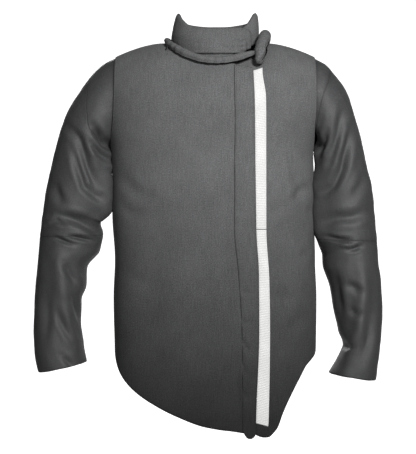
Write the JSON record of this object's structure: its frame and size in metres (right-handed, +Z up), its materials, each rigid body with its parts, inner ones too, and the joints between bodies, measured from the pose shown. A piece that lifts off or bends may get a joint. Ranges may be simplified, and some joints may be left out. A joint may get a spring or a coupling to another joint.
{
  "type": "fencing jacket",
  "caption": "Padded charcoal fencing coach's jacket, worn and hollow, with a wrapped stand collar, low pointed front and an off-centre closing beside a white fastening tape.",
  "frame": {"origin": "midway between the neck ends of the two shoulder seams, inside the neck hole, where the jacket hangs on its wearer", "axes": "+Z up, -Y out of the front, +X towards the wearer's left"},
  "size_m": [0.7138, 0.2661, 0.8557],
  "materials": {
    "panel_cloth": "matt charcoal twill over padding",
    "sleeve_cloth": "charcoal twill with a soft sheen",
    "fastening_tape": "white woven hook-and-loop tape"
  },
  "bodies": {
    "root": {"right_front": "panel_cloth", "left_front": "panel_cloth", "back": "panel_cloth", "front_band": "panel_cloth", "right_shoulder_panel": "sleeve_cloth", "left_shoulder_panel": "sleeve_cloth", "right_upper_sleeve": "sleeve_cloth", "left_upper_sleeve": "sleeve_cloth", "right_forearm": "sleeve_cloth", "left_forearm": "sleeve_cloth", "collar": "panel_cloth", "neck_roll": "panel_cloth", "tape_upper": "fastening_tape", "tape_lower": "fastening_tape"}
  },
  "joints": []
}
